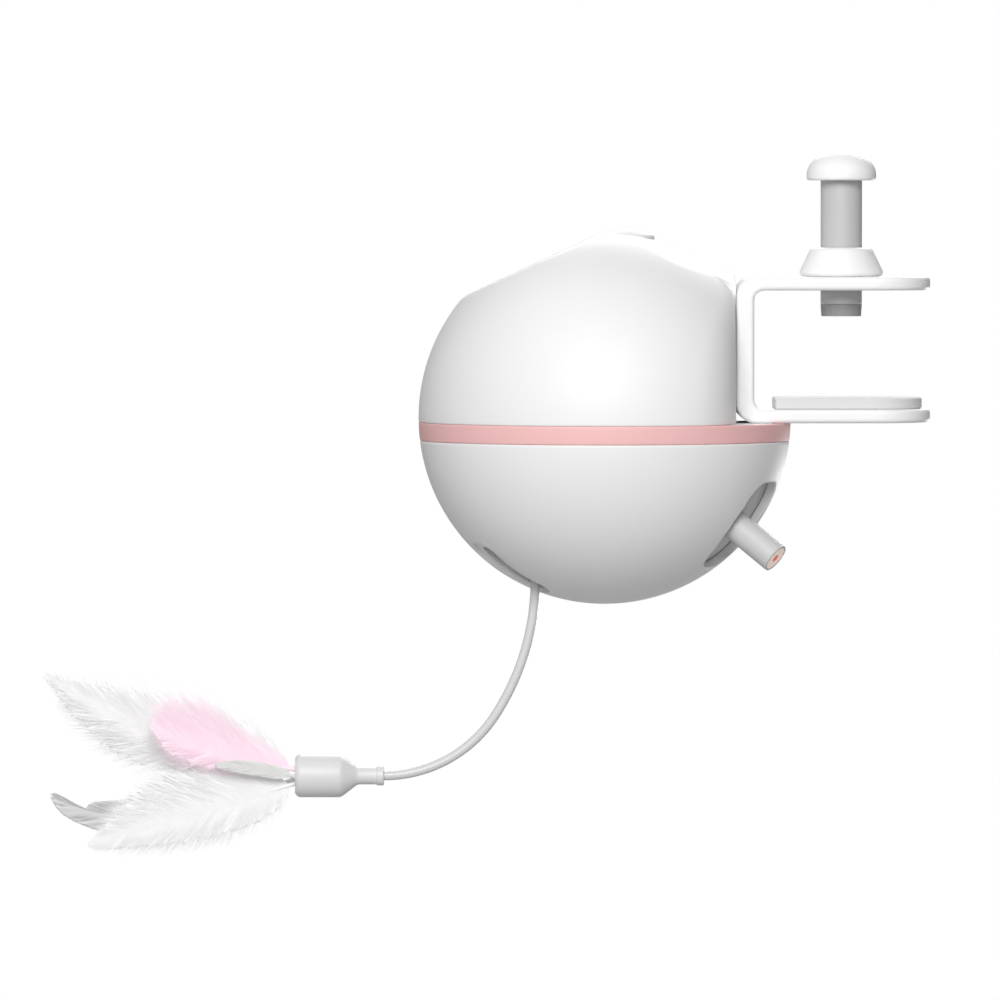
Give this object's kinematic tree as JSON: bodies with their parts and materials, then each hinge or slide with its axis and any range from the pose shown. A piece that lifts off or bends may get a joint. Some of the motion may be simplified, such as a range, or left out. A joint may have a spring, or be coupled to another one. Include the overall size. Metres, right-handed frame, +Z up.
{
  "type": "automatic cat feather toy",
  "caption": "Ball-shaped automatic cat toy on a screw clamp, with feathers on a springy wire and a tilting laser pointer.",
  "frame": {"origin": "top face of the clamp's pad, under the clamp screw's axis", "axes": "+Z up along the clamp screw; +X from the ball towards the free ends of the clamp's arms; +Y away from the side the picture shows"},
  "size_m": [0.2151, 0.09, 0.1718],
  "materials": {
    "white_plastic": "smooth satin-gloss moulded plastic",
    "pink_plastic": "smooth satin-gloss moulded plastic",
    "grey_rubber": "soft matte rubber",
    "grey_plastic": "satin moulded plastic",
    "pale_plastic": "satin moulded plastic",
    "steel": "plain bright steel",
    "brass": "turned brass",
    "green_board": "solder-masked glass-epoxy board",
    "cell_wrap": "shrink film",
    "dark_plastic": "matte moulded plastic",
    "wire_sleeve": "sleeved spring wire",
    "peach_window": "moulded window",
    "red_aperture": "tinted lens",
    "white_down": "soft feather",
    "pink_down": "soft dyed feather",
    "grey_down": "soft feather"
  },
  "bodies": {
    "housing": {"upper_shell": "white_plastic", "accent_band": "pink_plastic", "lower_shell": "white_plastic", "clamp_bracket": "white_plastic", "clamp_pad": "grey_rubber", "clamp_collar": "white_plastic", "button_switch": "dark_plastic", "circuit_board": "green_board", "battery_cell": "cell_wrap", "charge_port": "steel", "inner_frame": "pale_plastic", "frame_screws": "steel", "bracket_screws": "steel", "laser_motor": "steel", "feather_motor": "steel", "laser_axle": "steel", "feather_axle": "steel"},
    "laser": {"laser_carrier": "pale_plastic", "laser_shutter": "grey_plastic", "laser_tube": "white_plastic", "laser_module": "brass", "laser_window": "peach_window", "laser_aperture": "red_aperture"},
    "laser_drive": {"laser_pinion": "brass", "laser_motor_shaft": "steel"},
    "feather": {"feather_arm": "pale_plastic", "wire_set_screw": "steel", "feather_wire": "wire_sleeve", "feather_socket": "pale_plastic", "quill_plug": "pale_plastic", "upper_white_feather": "white_down", "pink_feather": "pink_down", "lower_white_feather": "white_down", "grey_feather": "grey_down", "covert_feather": "grey_down"},
    "feather_drive": {"feather_pinion": "brass", "feather_motor_shaft": "steel"},
    "button": {"power_button": "white_plastic"},
    "foot": {"screw_foot": "grey_plastic"},
    "screw": {"clamp_screw": "grey_plastic", "clamp_knob": "white_plastic"}
  },
  "joints": [
    {"name": "laser_tilt", "type": "hinge", "parent": "housing", "child": "laser", "pos_m": [-0.0572, 0, -0.005], "axis": [0.454, 0.891, 0], "range_deg": [-8, 8]},
    {"name": "laser_pinion_turn", "type": "hinge", "parent": "housing", "child": "laser_drive", "pos_m": [-0.0572, 0, 0.01186], "axis": [0.454, 0.891, 0], "range_deg": [-25, 25]},
    {"name": "feather_swing", "type": "hinge", "parent": "housing", "child": "feather", "pos_m": [-0.074, -0.00645, -0.009], "axis": [-0.3584, 0.9336, 0], "range_deg": [0, 20]},
    {"name": "feather_pinion_turn", "type": "hinge", "parent": "housing", "child": "feather_drive", "pos_m": [-0.074, -0.00645, 0.00786], "axis": [-0.3584, 0.9336, 0], "range_deg": [-61, 1]},
    {"name": "power_button_press", "type": "slide", "parent": "housing", "child": "button", "axis": [0, 0, 1], "range_m": [-0.0008, 0], "stiffness_N_per_m": 400},
    {"name": "clamp_foot_travel", "type": "slide", "parent": "housing", "child": "foot", "axis": [0, 0, 1], "range_m": [-0.0155, 0.003]},
    {"name": "clamp_screw_turn", "type": "hinge", "parent": "foot", "child": "screw", "pos_m": [0, 0, 0], "axis": [0, 0, 1], "range_deg": [-2800, 550]}
  ],
  "couplings": [
    {"joint": "laser_pinion_turn", "follows": "laser_tilt", "ratio": -3},
    {"joint": "feather_pinion_turn", "follows": "feather_swing", "ratio": -3},
    {"joint": "clamp_screw_turn", "follows": "clamp_foot_travel", "rad_per_m": 3141.6}
  ]
}
